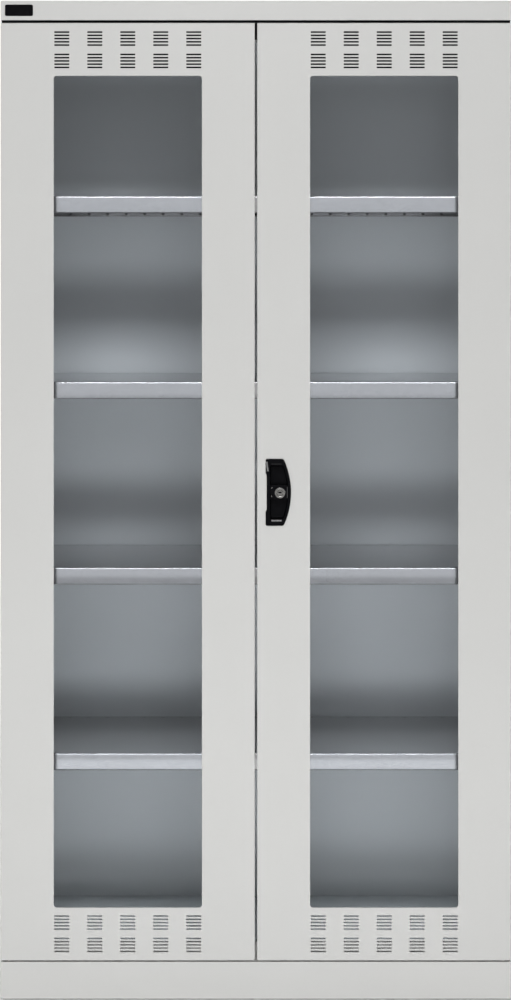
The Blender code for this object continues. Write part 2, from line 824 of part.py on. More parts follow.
def make_lock_housing(axis):
    """The block across the middle of the dish, from wall to wall, that holds the lock."""
    back = handle_recess_depth - seat_gap
    face = housing_setback - handle_proud
    centre, radius = bow_arc(rim_bowed_side)
    left = rim_flat_side + seat_gap
    right = centre + math.sqrt(radius ** 2 - (housing_height / 2) ** 2) - seat_gap
    bm = cube((right - left, back - face, housing_height))
    for vert in bm.verts:
        if vert.co.y > 0:
            vert.co.x -= math.copysign(recess_side_taper, vert.co.x)
    housing = add_object("lock_housing", bm,
                         (handle_x + (left + right) / 2, front + (back + face) / 2,
                          handle_centre_height), black_nylon, axis)
    bevel(housing, housing_round)
    cut(housing, round_cutter("lock_housing_bore", cylinder_radius + cylinder_clearance,
                              front + face - cut_overrun, front + back + cut_overrun,
                              [(lock_x, 0, lock_z)], axis="Y", sides=lock_steps))


def make_lock_cylinder(axis):
    """The fixed nickel cylinder and the nut that clamps it behind the dish."""
    head_back = handle_proud - housing_setback + seat_gap
    facing = (math.pi / 2, 0, 0)
    turned("lock_cylinder",
           [(cylinder_bore, handle_proud), (cylinder_head_radius, handle_proud),
            (cylinder_head_radius, head_back), (cylinder_radius, head_back),
            (cylinder_radius, -cylinder_reach), (cylinder_bore, -cylinder_reach)],
           (lock_x, front, lock_z), nickel, axis, facing, bored=True, steps=lock_steps)
    nut_front = handle_recess_depth + handle_floor_wall + seat_gap
    bm = bmesh.new()
    bmesh.ops.create_cone(bm, cap_ends=True, segments=6, radius1=nut_radius,
                          radius2=nut_radius, depth=nut_thickness,
                          matrix=Matrix.Rotation(math.pi / 2, 4, "X"))
    nut = add_object("lock_nut", bm, (lock_x, front + nut_front + nut_thickness / 2, lock_z),
                     zinc_plate, axis)
    cut(nut, round_cutter("lock_nut_bore", cylinder_radius + cylinder_clearance,
                          front + nut_front - cut_overrun,
                          front + nut_front + nut_thickness + cut_overrun,
                          [(lock_x, 0, lock_z)], axis="Y", sides=lock_steps))


def make_lock_plug(axis):
    """The plug that the key turns; its neck carries the cam and is riveted over."""
    radius = cylinder_bore - plug_clearance
    face = handle_proud - seat_gap
    cam_back = cam_front + cam_thickness
    rivet_front = cam_back + seat_gap
    plug = turned("lock_plug",
                  [(0, face), (radius, face), (radius, -plug_end), (plug_neck_radius, -plug_end),
                   (plug_neck_radius, -rivet_front), (plug_rivet_radius, -rivet_front),
                   (plug_rivet_radius, -rivet_front - plug_rivet),
                   (0, -rivet_front - plug_rivet)],
                  (lock_x, front, lock_z), nickel, axis, (math.pi / 2, 0, 0),
                  steps=lock_steps)
    cut(plug, box_cutter("lock_plug_key_slot",
                         (lock_x - key_slot_width / 2, front - face - cut_overrun,
                          lock_z - key_slot_height / 2),
                         (lock_x + key_slot_width / 2, front - face + key_slot_depth,
                          lock_z + key_slot_height / 2)))


def make_lock_cam(axis):
    """The cam: a disc with a tongue for the left door and a pin for each rod."""
    middle = front + cam_front + cam_thickness / 2
    bm = bmesh.new()
    turn = Matrix.Rotation(math.pi / 2, 4, "X")
    bmesh.ops.create_cone(bm, cap_ends=True, segments=turned_steps, radius1=cam_radius,
                          radius2=cam_radius, depth=cam_thickness, matrix=turn)
    cam = add_object("lock_cam", bm, (lock_x, middle, lock_z), zinc_plate, axis)
    shade_round(cam.data)
    half = cam_tongue_width / 2
    tip = half - rod_tip_chamfer
    tongue = flat_plate("lock_cam_tongue",
                        [(-half, 0), (half, 0), (half, cam_tongue - rod_tip_chamfer),
                         (tip, cam_tongue), (-tip, cam_tongue),
                         (-half, cam_tongue - rod_tip_chamfer)],
                        cam_thickness, (lock_x, front + cam_front, lock_z))
    fuse(cam, tongue)
    pins = []
    for start in (-lock_turn_angle / 2, math.pi - lock_turn_angle / 2):
        pins.append((lock_x + cam_pin_circle * math.cos(start), 0,
                     lock_z + cam_pin_circle * math.sin(start)))
    fuse(cam, round_cutter("lock_cam_pins", cam_pin_radius,
                           front + cam_front + cam_thickness / 2,
                           front + rod_front + 2 * rod_thickness, pins, axis="Y", sides=8))
    cut(cam, round_cutter("lock_cam_bore", plug_neck_radius + plug_clearance,
                          front + cam_front - cut_overrun,
                          front + cam_front + cam_thickness + cut_overrun,
                          [(lock_x, 0, lock_z)], axis="Y"))


def make_rod(name, side, axis):
    """A flat lock rod: a slotted yoke on a cam pin and a tip that enters a rail."""
    rest_z = lock_z - side * rod_travel / 2
    if side > 0:
        length = header_bottom - rod_tip_gap - rest_z
    else:
        length = rest_z - sill_top - rod_tip_gap
    half_yoke, half_rod = yoke_width / 2, rod_width / 2
    tip = half_rod - rod_tip_chamfer
    outline = [(-half_yoke, -yoke_height / 2), (half_yoke, -yoke_height / 2),
               (half_yoke, yoke_height / 2), (half_rod, yoke_height / 2 + yoke_width),
               (half_rod, length - rod_tip_chamfer), (tip, length), (-tip, length),
               (-half_rod, length - rod_tip_chamfer),
               (-half_rod, yoke_height / 2 + yoke_width), (-half_yoke, yoke_height / 2)]
    if side < 0:
        outline = [(x, -z) for x, z in outline]
    x = lock_x + side * yoke_offset
    rod = flat_plate(name, outline, rod_thickness, (x, front + rod_front, rest_z),
                     zinc_plate, axis)
    cut(rod, box_cutter(name + "_yoke_slot",
                        (x - yoke_slot_width / 2, front + rod_front - cut_overrun,
                         rest_z - yoke_slot_height / 2),
                        (x + yoke_slot_width / 2,
                         front + rod_front + rod_thickness + cut_overrun,
                         rest_z + yoke_slot_height / 2)))


def make_rod_guide(name, side, axis):
    """A block on the stiffener that the rod slides through."""
    if side > 0:
        z = door_top - guide_end_distance
    else:
        z = door_bottom + guide_end_distance
    x = lock_x + side * yoke_offset
    low_y = stiffener_back + seat_gap
    high_y = front + rod_front + rod_thickness + guide_clearance + guide_back_wall
    guide = add_object(name, cube((guide_width, high_y - low_y, guide_height)),
                       (x, (low_y + high_y) / 2, z), bush_plastic, axis)
    reach = rod_width / 2 + guide_clearance
    cut(guide, box_cutter(name + "_way",
                          (x - reach, front + rod_front - guide_clearance,
                           z - guide_height / 2 - cut_overrun),
                          (x + reach, front + rod_front + rod_thickness + guide_clearance,
                           z + guide_height / 2 + cut_overrun)))


def make_stiffener(axis):
    """The channel along the right door's free edge that carries the lock and rods."""
    depth = stiffener_back - front - door_sheet - seat_gap
    path = [(stiffener_width - stiffener_foot, -depth), (stiffener_width, -depth),
            (stiffener_width, 0), (0, 0)]
    bottom = door_bottom + door_lip + stiffener_end_gap
    x = door_centre_gap / 2 + stiffener_edge_distance
    stiffener = folded_sheet("lock_stiffener", "top", path, door_height - 2 * (bottom - door_bottom),
                             (x, stiffener_back, bottom), stiffener_sheet, powder_coat, axis,
                             radius=0)
    cut(stiffener, round_cutter("lock_stiffener_bore", cylinder_radius + cylinder_clearance,
                                stiffener_back - stiffener_sheet - cut_overrun,
                                stiffener_back + cut_overrun, [(lock_x, 0, lock_z)], axis="Y",
                                sides=lock_steps))


def make_keeper(axis):
    """The plate on the left door's lip that the cam's tongue closes on."""
    x = -(door_centre_gap / 2 + keeper_edge_distance + keeper_width / 2)
    y = door_back + seat_gap + keeper_thickness / 2
    keeper = add_object("left_door_keeper", cube((keeper_width, keeper_thickness, keeper_height)),
                        (x, y, lock_z), zinc_plate, axis)
    bevel(keeper, keeper_round, segments=keeper_segments)


# Carcass
make_top_cap()
make_plinth()
make_side_panel("left_side_panel", -1)
make_side_panel("right_side_panel", 1)
make_back_panel()
make_rail("header_rail", header_height, header_bottom, lock_x + yoke_offset, hole_in_top=False)
make_rail("sill_rail", sill_height, panel_bottom, lock_x - yoke_offset, hole_in_top=True)
make_floor_pan()
corners = {"left_front": (-1, front_upright_y), "right_front": (1, front_upright_y),
           "left_rear": (-1, rear_upright_y), "right_rear": (1, rear_upright_y)}
for corner_name, (corner_side, corner_y) in corners.items():
    make_upright(corner_name + "_upright", corner_side, corner_y)
for number, shelf_height in enumerate(shelf_heights, start=1):
    make_shelf(f"shelf_{number}", shelf_height)
    for corner_name, (corner_side, corner_y) in corners.items():
        make_clip(f"shelf_{number}_{corner_name}_clip", corner_side, corner_y, shelf_height)

# Doors, each on its hinge axis
for door_name, door_side in (("left_door", -1), ("right_door", 1)):
    door_axis = joint_empty(door_name + "_hinge_axis",
                            (door_side * hinge_x, hinge_y, door_middle_height))
    door_skin = make_door(door_name, door_side, door_axis)
    make_hinge(door_name + "_upper", door_side, True, door_axis)
    make_hinge(door_name + "_lower", door_side, False, door_axis)
    if door_side < 0:
        make_keeper(door_axis)

# Handle and lock, on the right door
make_handle(door_axis, door_skin)
make_lock_housing(door_axis)
make_lock_cylinder(door_axis)
make_stiffener(door_axis)
lock_axis = joint_empty("lock_axis", (lock_x, front, lock_z), door_axis)
make_lock_plug(lock_axis)
make_lock_cam(lock_axis)
for rod_name, rod_side in (("upper_rod", 1), ("lower_rod", -1)):
    rod_axis = joint_empty(rod_name + "_axis",
                           (lock_x + rod_side * yoke_offset, front + rod_front, lock_z),
                           door_axis)
    make_rod(rod_name, rod_side, rod_axis)
    make_rod_guide(rod_name + "_guide", rod_side, door_axis)
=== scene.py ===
"""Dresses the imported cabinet: finer pieces, procedural materials, soft studio light, camera."""
import json
import math

import bmesh
import bpy
from mathutils import Matrix, Vector


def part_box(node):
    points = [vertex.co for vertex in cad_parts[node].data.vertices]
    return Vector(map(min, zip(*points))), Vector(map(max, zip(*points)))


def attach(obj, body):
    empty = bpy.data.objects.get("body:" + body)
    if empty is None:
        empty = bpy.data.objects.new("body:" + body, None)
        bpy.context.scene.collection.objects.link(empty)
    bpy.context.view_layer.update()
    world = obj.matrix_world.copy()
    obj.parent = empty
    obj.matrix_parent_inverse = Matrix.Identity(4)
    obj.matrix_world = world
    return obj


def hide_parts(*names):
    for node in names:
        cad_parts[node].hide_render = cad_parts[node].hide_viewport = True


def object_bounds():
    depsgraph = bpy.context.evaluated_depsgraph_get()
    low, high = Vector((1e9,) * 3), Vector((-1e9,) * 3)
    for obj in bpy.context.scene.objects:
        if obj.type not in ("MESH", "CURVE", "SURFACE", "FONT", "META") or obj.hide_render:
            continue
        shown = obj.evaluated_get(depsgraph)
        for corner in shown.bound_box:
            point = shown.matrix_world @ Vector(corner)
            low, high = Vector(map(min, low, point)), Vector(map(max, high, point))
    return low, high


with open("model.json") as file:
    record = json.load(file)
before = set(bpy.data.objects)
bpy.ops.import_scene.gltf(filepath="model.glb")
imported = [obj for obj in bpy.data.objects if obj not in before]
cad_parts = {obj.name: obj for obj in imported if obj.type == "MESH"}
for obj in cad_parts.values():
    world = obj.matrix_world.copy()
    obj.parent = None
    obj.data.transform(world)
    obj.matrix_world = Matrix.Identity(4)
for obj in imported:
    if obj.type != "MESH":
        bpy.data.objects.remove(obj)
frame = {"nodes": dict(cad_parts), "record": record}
cad_low, cad_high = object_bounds()

# ---------------------------------------------------------------- sizes, in metres
FRONT = -0.276                 # the doors' and bands' front face
SHEET = 0.001                  # thickness of the sheet metal
SEAT = 0.0003                  # clearance of a piece in what holds it
PAST = 0.004                   # how far a cutter reaches past the surface that it cuts
CREASE_ANGLE = 35              # in degrees; an edge sharper than this stays sharp or is rounded

SHELF_HOLE = 0.0047            # diameter
SHELF_PITCH = 0.0405           # from hole to hole and from slot to slot
SHELF_HOLE_INSET = 0.019       # from the front and the rear edge to the rows of holes
SHELF_FOLD = 0.0024
SHELF_LIP = 0.015              # width of the return lips under the front and rear edges
SHELF_END_LIP = 0.012
SHELF_SLOT = (0.0065, 0.012)   # width and height of a slot in the rear flange
SHELF_SLOT_RISE = 0.003        # from the flange's lower edge

UPRIGHT_FOLD = 0.0015
UPRIGHT_SLOT = (0.012, 0.008)  # width and height
UPRIGHT_SLOT_CORNER = 0.0015
UPRIGHT_SLOT_PITCH = 0.025
CLIP_SLOT_DROP = 0.0176        # from a shelf's top to the floor of its clips' slots

HANDLE_PLACE = Vector((0.0192, FRONT, 1.0155))     # middle of the flat side
HANDLE_HEIGHT = 0.134
HANDLE_END_WIDTH = 0.036
HANDLE_MIDDLE_WIDTH = 0.051
HANDLE_CORNER = 0.004
HANDLE_PROUD = 0.003           # of the rim, before the door's face
HANDLE_ROUND = 0.0012
HANDLE_FLANGE = 0.003          # width of the rim that overlaps the door's sheet
HANDLE_BODY = 0.005            # inset of the dish's outside at its floor
WAIST = 0.0022                 # depth of the flat side's hollow
WAIST_HALF = 0.034             # half the hollow's length, without its end slopes
WAIST_SLOPE = 0.006
RIM = (0.0085, 0.005, 0.0085)  # rim width at the flat side, the bowed side and the ends
RIM_SLOPE = (0.009, 0.0055, 0.0122)                # inner edge of the slope inside the rim
RIM_SLOPE_DEPTH = 0.0014
RIM_CREASE = (0.0002, 0.0003)  # width and depth that keep the slope's edges crisp
FACET_EDGE = ((0.0231, 1.0772), (0.0257, 1.0576))  # front edge of the side facet, as (x, z)
FACET_FALL = math.tan(math.radians(23))
FACET_WIDTH = (0.0002, 0.0036)                     # its sliver of painted highlight, from that edge
FACET_BAR = (0.0194, 0.0270)   # middle, from the flat side, and length of the end slopes' bars of painted highlight
FACET_BAR_SHARES = (0.1, 0.9)  # where they start and end, down the slope
FACET_PAST = 0.001             # the facet cutter's reach past the flat side
SLIVER = (-0.00004, 0.0004)    # a painted-highlight sliver's front and back, from the surface that it lies on
DISH_FLOOR = (0.0105, 0.007, 0.0165)               # inset of the dish's inside at its floor
DISH_DEPTH = 0.0145
DISH_WALL = 0.0015
DISH_FILLET = 0.0022

LOCK = Vector((0.0481, FRONT, 1.0143))             # on the lock's axis
HOUSING_HEIGHT = 0.0285
HOUSING_SETBACK = 0.0015       # of the block's face, behind the rim
HOUSING_TAPER = 0.002
HOUSING_ROUND = 0.0013
HOUSING_BORE = (0.005, 0.03)   # middle, from the door's face, and length of its cutter
HOUSING_GLINT = (0.0016, 0.0006, 0.011)             # inset and half width and height of its sliver of painted highlight
PIN_PLACE = (0.0035, 0.0085)   # from the block's left edge, and above or below its middle
PIN_PROFILE = ((0, -0.0003), (0.0006, -0.0003), (0.0009, -0.0001), (0.0009, 0.0004),
               (0, 0.0004))    # as (radius, y) from the block's face
CYLINDER_HEAD = 0.0104         # radius of the ring's head
CYLINDER_RADIUS = 0.009        # radius of its shank
CYLINDER_BORE = 0.0064         # radius of its bore
CYLINDER_REACH = 0.0225        # from the door's face to its rear end
RING_CREST = 0.0083            # radius of its foremost edge, where its cone starts
RING_ANGLE = 15                # in degrees
RING_CREASE = 0.0001           # width that keeps the cone's edges crisp
RING_CHAMFER = (0.0003, 0.0006)                    # width at the bore, and depth where that starts
LUG_PLACE = Vector((0.0099, -0.0019, 0.0024))      # from the lock's axis at the door's face
LUG_RADIUS = 0.0011
LUG_LENGTH = 0.0010
PLUG_GAP = 0.0002              # between the plug and its bore
PLUG_CHAMFER = 0.0004
PLUG_END = 0.0237              # from the door's face to the rear of the plug's thick part
PLUG_NECK = (0.004, 0.0273)    # radius and rear end of the neck that holds the cam
PLUG_RIVET = (0.0052, 0.0286)  # radius and rear end of the riveted end behind the cam
KEY_SLOT = (0.0066, 0.0031, 0.008)                 # width, height and depth
KEY_SLOT_CORNER = 0.0009
KEY_SLOT_RISE = 0.0011         # of its middle above the lock's axis
KEY_SHADE_SETBACK = 0.0004       # of the black box of painted shade inside the slot, behind the plug's face

BADGE_LEFT, BADGE_RIGHT = -0.5030, -0.4468
BADGE_BOTTOM, BADGE_TOP = 1.9699, 1.9927
BADGE_THICKNESS = 0.0012
BADGE_CORNER = (0.0035, 0.002) # radii of its outline and of its field
BADGE_BORDER = 0.0012
BADGE_ROUND = 0.0004           # of the border's edges, and the depth of the field

VENT_SHADE_THICKNESS = 0.0005                # thickness of the black sheet of painted shade behind the vents
VENT_SHADE_INSET = 0.011           # at its sides, from the pane's frame
VENT_SHADE_RISE = (0.0016, 0.078)  # its lower and upper edge above the pane's frame
COVER_INSET = 0.01
COVER_RISE = (0.0006, 0.079)
COVER_ROUND = 0.0006
CAP_GAP_SHADE = (0.002, 0.0002, 0.003, 0.0005)          # black strip of painted shade in the top gap: inset, reach forward, back and up
HEADER_SHADE_INSET = (0.03, 0.003)                  # black strip of painted shade on the header: at its ends, and above and below
HEADER_SHADE_DEPTH = (0.0012, 0.0001)               # its front and back, before the header
# black strips of painted shade behind the shelves' rear slots
SLOT_SHADE_INSET = 0.02
SLOT_SHADE_DEPTH = (0.0001, 0.0006) # its front and back, behind the shelf's flange
SLOT_SHADE_MARGIN = 0.001           # above and below the slots

FLOOR_RADIUS = 60
FLOOR_DROP = 0.0005            # below the cabinet's foot
FLOOR_FADE = (2.5, 8)          # where the floor starts and ends turning white


# ---------------------------------------------------------------- mesh helpers
def add_piece(name, mesh, body, node=None):
    """A piece from a mesh, riding on its body, in place of a node if one is named."""
    obj = bpy.data.objects.new(name, mesh)
    bpy.context.scene.collection.objects.link(obj)
    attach(obj, body)
    if node:
        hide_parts(node)
    return obj


def make(name, bm, body, slot, node=None, material=None):
    """A piece from a bmesh, with its slot's finish unless another is given."""
    mesh = bpy.data.meshes.new(name)
    bm.to_mesh(mesh)
    bm.free()
    mesh.materials.append(material or finishes[slot])
    return add_piece(name, mesh, body, node)


def make_box(name, low, high, body, slot):
    """A piece that is a box between two corners."""
    bm = bmesh.new()
    add_box(bm, low, high)
    return make(name, bm, body, slot)


def settle(obj):
    """Put an object's modifiers into its mesh and shade it round between its creases."""
    depsgraph = bpy.context.evaluated_depsgraph_get()
    depsgraph.update()
    mesh = bpy.data.meshes.new_from_object(obj.evaluated_get(depsgraph))
    obj.modifiers.clear()
    obj.data = mesh
    mesh.shade_smooth()
    mesh.set_sharp_from_angle(angle=math.radians(CREASE_ANGLE))
    return obj


def bevel(obj, width, segments=3, angle=CREASE_ANGLE, weighted=False):
    """Round the sharp or the weighted edges."""
    modifier = obj.modifiers.new("round", "BEVEL")
    modifier.width = width
    modifier.segments = segments
    modifier.limit_method = "WEIGHT" if weighted else "ANGLE"
    modifier.angle_limit = math.radians(angle)


def thicken(obj):
    """Give an outer surface the sheet metal's thickness, inwards."""
    modifier = obj.modifiers.new("sheet", "SOLIDIFY")
    modifier.thickness = SHEET
    modifier.offset = -1
    modifier.use_even_offset = True


def cut(obj, bm):
    """Take a bmesh's volume out of an object."""
    mesh = bpy.data.meshes.new("cutter")
    bm.to_mesh(mesh)
    bm.free()
    cutter = bpy.data.objects.new("cutter", mesh)
    bpy.context.scene.collection.objects.link(cutter)
    modifier = obj.modifiers.new("cut", "BOOLEAN")
    modifier.operation = "DIFFERENCE"
    modifier.solver = "EXACT"
    modifier.object = cutter
    settle(obj)
    bpy.data.objects.remove(cutter)
    bpy.data.meshes.remove(mesh)


def add_box(bm, low, high):
    """A box between two corners."""
    low, high = Vector(low), Vector(high)
    matrix = Matrix.Translation((low + high) / 2) @ Matrix.Diagonal((*(high - low), 1))
    return bmesh.ops.create_cube(bm, size=1, matrix=matrix)["verts"]


def add_bar(bm, centre, radius, length, axis, sides):
    """A round bar along Y or Z."""
    turn = Matrix.Rotation(math.pi / 2, 4, "X") if axis == "Y" else Matrix()
    bmesh.ops.create_cone(bm, cap_ends=True, segments=sides, radius1=radius, radius2=radius,
                          depth=length, matrix=Matrix.Translation(centre) @ turn)


def add_prism(bm, outline, near, far, axis="Y"):
    """A solid from an outline in (x, z), or (y, z) for axis X, between two depths."""
    faces = [[bm.verts.new((a, depth, b) if axis == "Y" else (depth, a, b)) for a, b in outline]
             for depth in (near, far)]
    bm.faces.new(faces[0])
    bm.faces.new(faces[1])
    for i in range(len(outline)):
        j = (i + 1) % len(outline)
        bm.faces.new((faces[0][i], faces[0][j], faces[1][j], faces[1][i]))
    bmesh.ops.recalc_face_normals(bm, faces=bm.faces)


def rounded_outline(low_x, low_z, high_x, high_z, radius, steps=8):
    """A rectangle with round corners, as (x, z) points."""
    left, right = low_x + radius, high_x - radius
    bottom, top = low_z + radius, high_z - radius
    points = []
    for x, z, start in ((right, top, 0), (left, top, 90), (left, bottom, 180),
                        (right, bottom, 270)):
        for i in range(steps + 1):
            angle = math.radians(start + 90 * i / steps)
            points.append((x + radius * math.cos(angle), z + radius * math.sin(angle)))
    return points


def turned(bm, centre, profile, steps=64, closed=False):
    """A solid turned about the Y axis through its centre, from (radius, y) points."""
    angles = [2 * math.pi * i / steps for i in range(steps)]
    rings = []
    for radius, y in profile:
        if radius == 0:
            points = [(0, y, 0)]
        else:
            points = [(radius * math.cos(angle), y, radius * math.sin(angle)) for angle in angles]
        rings.append([bm.verts.new(centre + Vector(point)) for point in points])
    pairs = list(zip(rings, rings[1:])) + ([(rings[-1], rings[0])] if closed else [])
    for near, far in pairs:
        for i in range(steps):
            j = (i + 1) % steps
            corners = [ring[k % len(ring)]
                       for ring, k in ((near, i), (near, j), (far, j), (far, i))]
            bm.faces.new(list(dict.fromkeys(corners)))
    bmesh.ops.recalc_face_normals(bm, faces=bm.faces)


# ---------------------------------------------------------------- material helpers
class Finish:
    """A Principled material with short names for the nodes that these finishes use."""

    def __init__(self, name, colour, roughness, metallic=0.0, specular=0.5):
        self.material = bpy.data.materials.new(name)
        self.material.use_nodes = True
        self.tree = self.material.node_tree
        self.tree.nodes.clear()
        self.output = self.node("OutputMaterial")
        self.shader = self.node("BsdfPrincipled")
        self.link(self.shader.outputs[0], self.output.inputs[0])
        for socket, value in (("Base Color", (*colour, 1)), ("Roughness", roughness),
                              ("Metallic", metallic), ("Specular IOR Level", specular)):
            self.shader.inputs[socket].default_value = value
        self.place = self.node("TexCoord").outputs["Object"]

    def node(self, kind, **values):
        node = self.tree.nodes.new("ShaderNode" + kind)
        for key, value in values.items():
            setattr(node, key, value)
        return node

    def link(self, output, socket):
        self.tree.links.new(output, socket)

    def stretched(self, scale):
        """Object coordinates, scaled differently along each axis."""
        mapping = self.node("Mapping")
        mapping.inputs["Scale"].default_value = scale
        self.link(self.place, mapping.inputs["Vector"])
        return mapping.outputs[0]

    def noise(self, scale, detail, place=None, roughness=0.5):
        node = self.node("TexNoise")
        node.inputs["Scale"].default_value = scale
        node.inputs["Detail"].default_value = detail
        node.inputs["Roughness"].default_value = roughness
        self.link(place or self.place, node.inputs["Vector"])
        return node.outputs[0]

    def cells(self, scale):
        """A random grey for each cell of a crystal pattern."""
        node = self.node("TexVoronoi")
        node.inputs["Scale"].default_value = scale
        self.link(self.place, node.inputs["Vector"])
        split = self.node("SeparateColor")
        self.link(node.outputs["Color"], split.inputs[0])
        return split.outputs[0]

    def spread(self, factor, low, high, start=0.25, end=0.75):
        """Map a factor onto a range of values."""
        node = self.node("MapRange")
        self.link(factor, node.inputs["Value"])
        limits = {"From Min": start, "From Max": end, "To Min": low, "To Max": high}
        for socket, value in limits.items():
            node.inputs[socket].default_value = value
        return node.outputs[0]

    def blend(self, a, b, share):
        """Mix two factors."""
        node = self.node("Mix")
        node.inputs[0].default_value = share
        self.link(a, node.inputs[2])
        self.link(b, node.inputs[3])
        return node.outputs[0]

    def colour(self, factor, dark, light, start=0.25, end=0.75):
        """Colour the surface between two tones."""
        node = self.node("Mix", data_type="RGBA")
        self.link(self.spread(factor, 0, 1, start, end), node.inputs[0])
        node.inputs[6].default_value = (*dark, 1)
        node.inputs[7].default_value = (*light, 1)
        self.link(node.outputs[2], self.shader.inputs["Base Color"])

    def rough(self, factor, low, high):
        self.link(self.spread(factor, low, high), self.shader.inputs["Roughness"])

    def bump(self, height, distance, strength=1.0):
        node = self.node("Bump")
        node.inputs["Distance"].default_value = distance
        node.inputs["Strength"].default_value = strength
        self.link(height, node.inputs["Height"])
        self.link(node.outputs[0], self.shader.inputs["Normal"])


def make_powder_coat(name, tone, front_painted_light_tone=None):
    """Powder coat with a fine orange peel, in faint clouds, or with a lighter tone of painted light
    on the faces that look to the front.
    """
    finish = Finish(name, tone, 0.45)
    if front_painted_light_tone:
        # painted light: faces that look to the front take the lighter tone, which stands in for
        # light that the cabinet's inside lacks
        facing = finish.node("SeparateXYZ")
        finish.link(finish.place.node.outputs["Normal"], facing.inputs[0])
        finish.colour(facing.outputs[1], front_painted_light_tone, tone, -0.9, -0.5)
    else:
        clouds = finish.blend(finish.noise(3.5, 2), finish.noise(260, 3), 0.35)
        finish.colour(clouds, [0.98 * value for value in tone], [1.02 * value for value in tone])
    finish.rough(finish.noise(45, 3), 0.40, 0.52)
    finish.bump(finish.blend(finish.noise(620, 2), finish.noise(1900, 2), 0.4), 0.00004, 0.5)
    return finish.material


def make_galvanised():
    """Galvanised sheet: small crystals, fine rolling lines along X, uneven dulling."""
    finish = Finish("galvanised_steel", (0.46, 0.46, 0.465), 0.3, 1.0)
    lines = finish.noise(1, 4, finish.stretched((8, 420, 420)), 0.6)
    crystals = finish.cells(260)
    clouds = finish.noise(16, 4)
    pattern = finish.blend(finish.blend(lines, crystals, 0.3), clouds, 0.2)
    finish.colour(pattern, (0.42, 0.42, 0.427), (0.49, 0.488, 0.492))
    finish.rough(finish.blend(clouds, crystals, 0.2), 0.13, 0.18)
    return finish.material


def make_zinc():
    """Bright zinc plating, slightly clouded."""
    finish = Finish("zinc_plated_steel", (0.47, 0.47, 0.46), 0.3, 1.0)
    finish.colour(finish.noise(70, 4), (0.42, 0.425, 0.43), (0.52, 0.52, 0.50))
    finish.rough(finish.noise(130, 3), 0.24, 0.38)
    finish.bump(finish.noise(900, 2), 0.00003, 0.5)
    return finish.material


def make_nickel():
    """Nickel plate with fine turning marks and handling marks."""
    finish = Finish("nickel_plate", (0.19, 0.187, 0.18), 0.2, 1.0)
    finish.colour(finish.noise(300, 4), (0.16, 0.157, 0.15), (0.22, 0.217, 0.21))
    finish.rough(finish.noise(520, 4), 0.13, 0.24)
    finish.bump(finish.noise(2200, 2), 0.00002, 0.5)
    return finish.material


def make_black_nylon(name, shine):
    """Black moulded nylon with a faint mould grain."""
    finish = Finish(name, (0.004, 0.004, 0.0048), 0.2, specular=shine)
    finish.colour(finish.noise(90, 3), (0.003, 0.003, 0.0038), (0.005, 0.005, 0.006))
    finish.rough(finish.noise(240, 3), 0.14, 0.26)
    finish.bump(finish.noise(1500, 2), 0.00002, 0.4)
    return finish.material


def make_bush_plastic():
    """Matt black plastic."""
    finish = Finish("black_bush_plastic", (0.02, 0.02, 0.02), 0.55, specular=0.3)
    finish.colour(finish.noise(160, 3), (0.014, 0.014, 0.014), (0.026, 0.026, 0.026))
    finish.rough(finish.noise(300, 3), 0.48, 0.64)
    finish.bump(finish.noise(1300, 2), 0.00004, 0.5)
    return finish.material


def make_polycarbonate():
    """Clear sheet: light goes straight through, and its faces reflect a little."""
    finish = Finish("clear_polycarbonate", (0.92, 0.94, 0.96), 0.05, 1.0)
    finish.rough(finish.noise(25, 3), 0.035, 0.075)
    clear = finish.node("BsdfTransparent")
    clear.inputs[0].default_value = (0.965, 0.976, 0.990, 1)
    fresnel = finish.node("Fresnel")
    fresnel.inputs["IOR"].default_value = 1.28
    mix = finish.node("MixShader")
    finish.link(fresnel.outputs[0], mix.inputs[0])
    finish.link(clear.outputs[0], mix.inputs[1])
    finish.link(finish.shader.outputs[0], mix.inputs[2])
    finish.link(mix.outputs[0], finish.output.inputs[0])
    return finish.material


LIGHT_GREY = (0.56, 0.56, 0.549)
# a lighter, cooler grey of painted light, standing in for light inside the cabinet
PAINTED_LIGHT_GREY = (0.81, 0.84, 0.85)
finishes = {
    "light_grey_powder_coat": make_powder_coat("light_grey_powder_coat", LIGHT_GREY),
    "galvanised_steel": make_galvanised(),
    "zinc_plated_steel": make_zinc(),
    "clear_polycarbonate": make_polycarbonate(),
    "black_nylon": make_black_nylon("black_nylon", 0.03),
    "black_bush_plastic": make_bush_plastic(),
    "nickel_plate": make_nickel(),
}
for part in frame["record"]["subparts"]:
    mesh = frame["nodes"][part["node"]].data
    mesh.materials.clear()
    mesh.materials.append(finishes[part["material_slot"]])
# painted light: the back panel's front face is painted lighter than the powder coat, to stand in
# for light inside the cabinet
frame["nodes"]["back_panel"].data.materials[0] = make_powder_coat(
    "back_panel_coat_painted_light", LIGHT_GREY, PAINTED_LIGHT_GREY)
# painted light: the floor pan is painted all over in the lighter grey that stands in for light
# inside the cabinet
frame["nodes"]["floor_pan"].data.materials[0] = make_powder_coat("floor_pan_coat_painted_light", PAINTED_LIGHT_GREY)
# more reflective copies of the black nylon, for the slivers of painted highlight on the handle and
# the lock's block
painted_glint_nylon = make_black_nylon("painted_glint_nylon", 1.0)
painted_sheen_nylon = make_black_nylon("painted_sheen_nylon", 0.2)


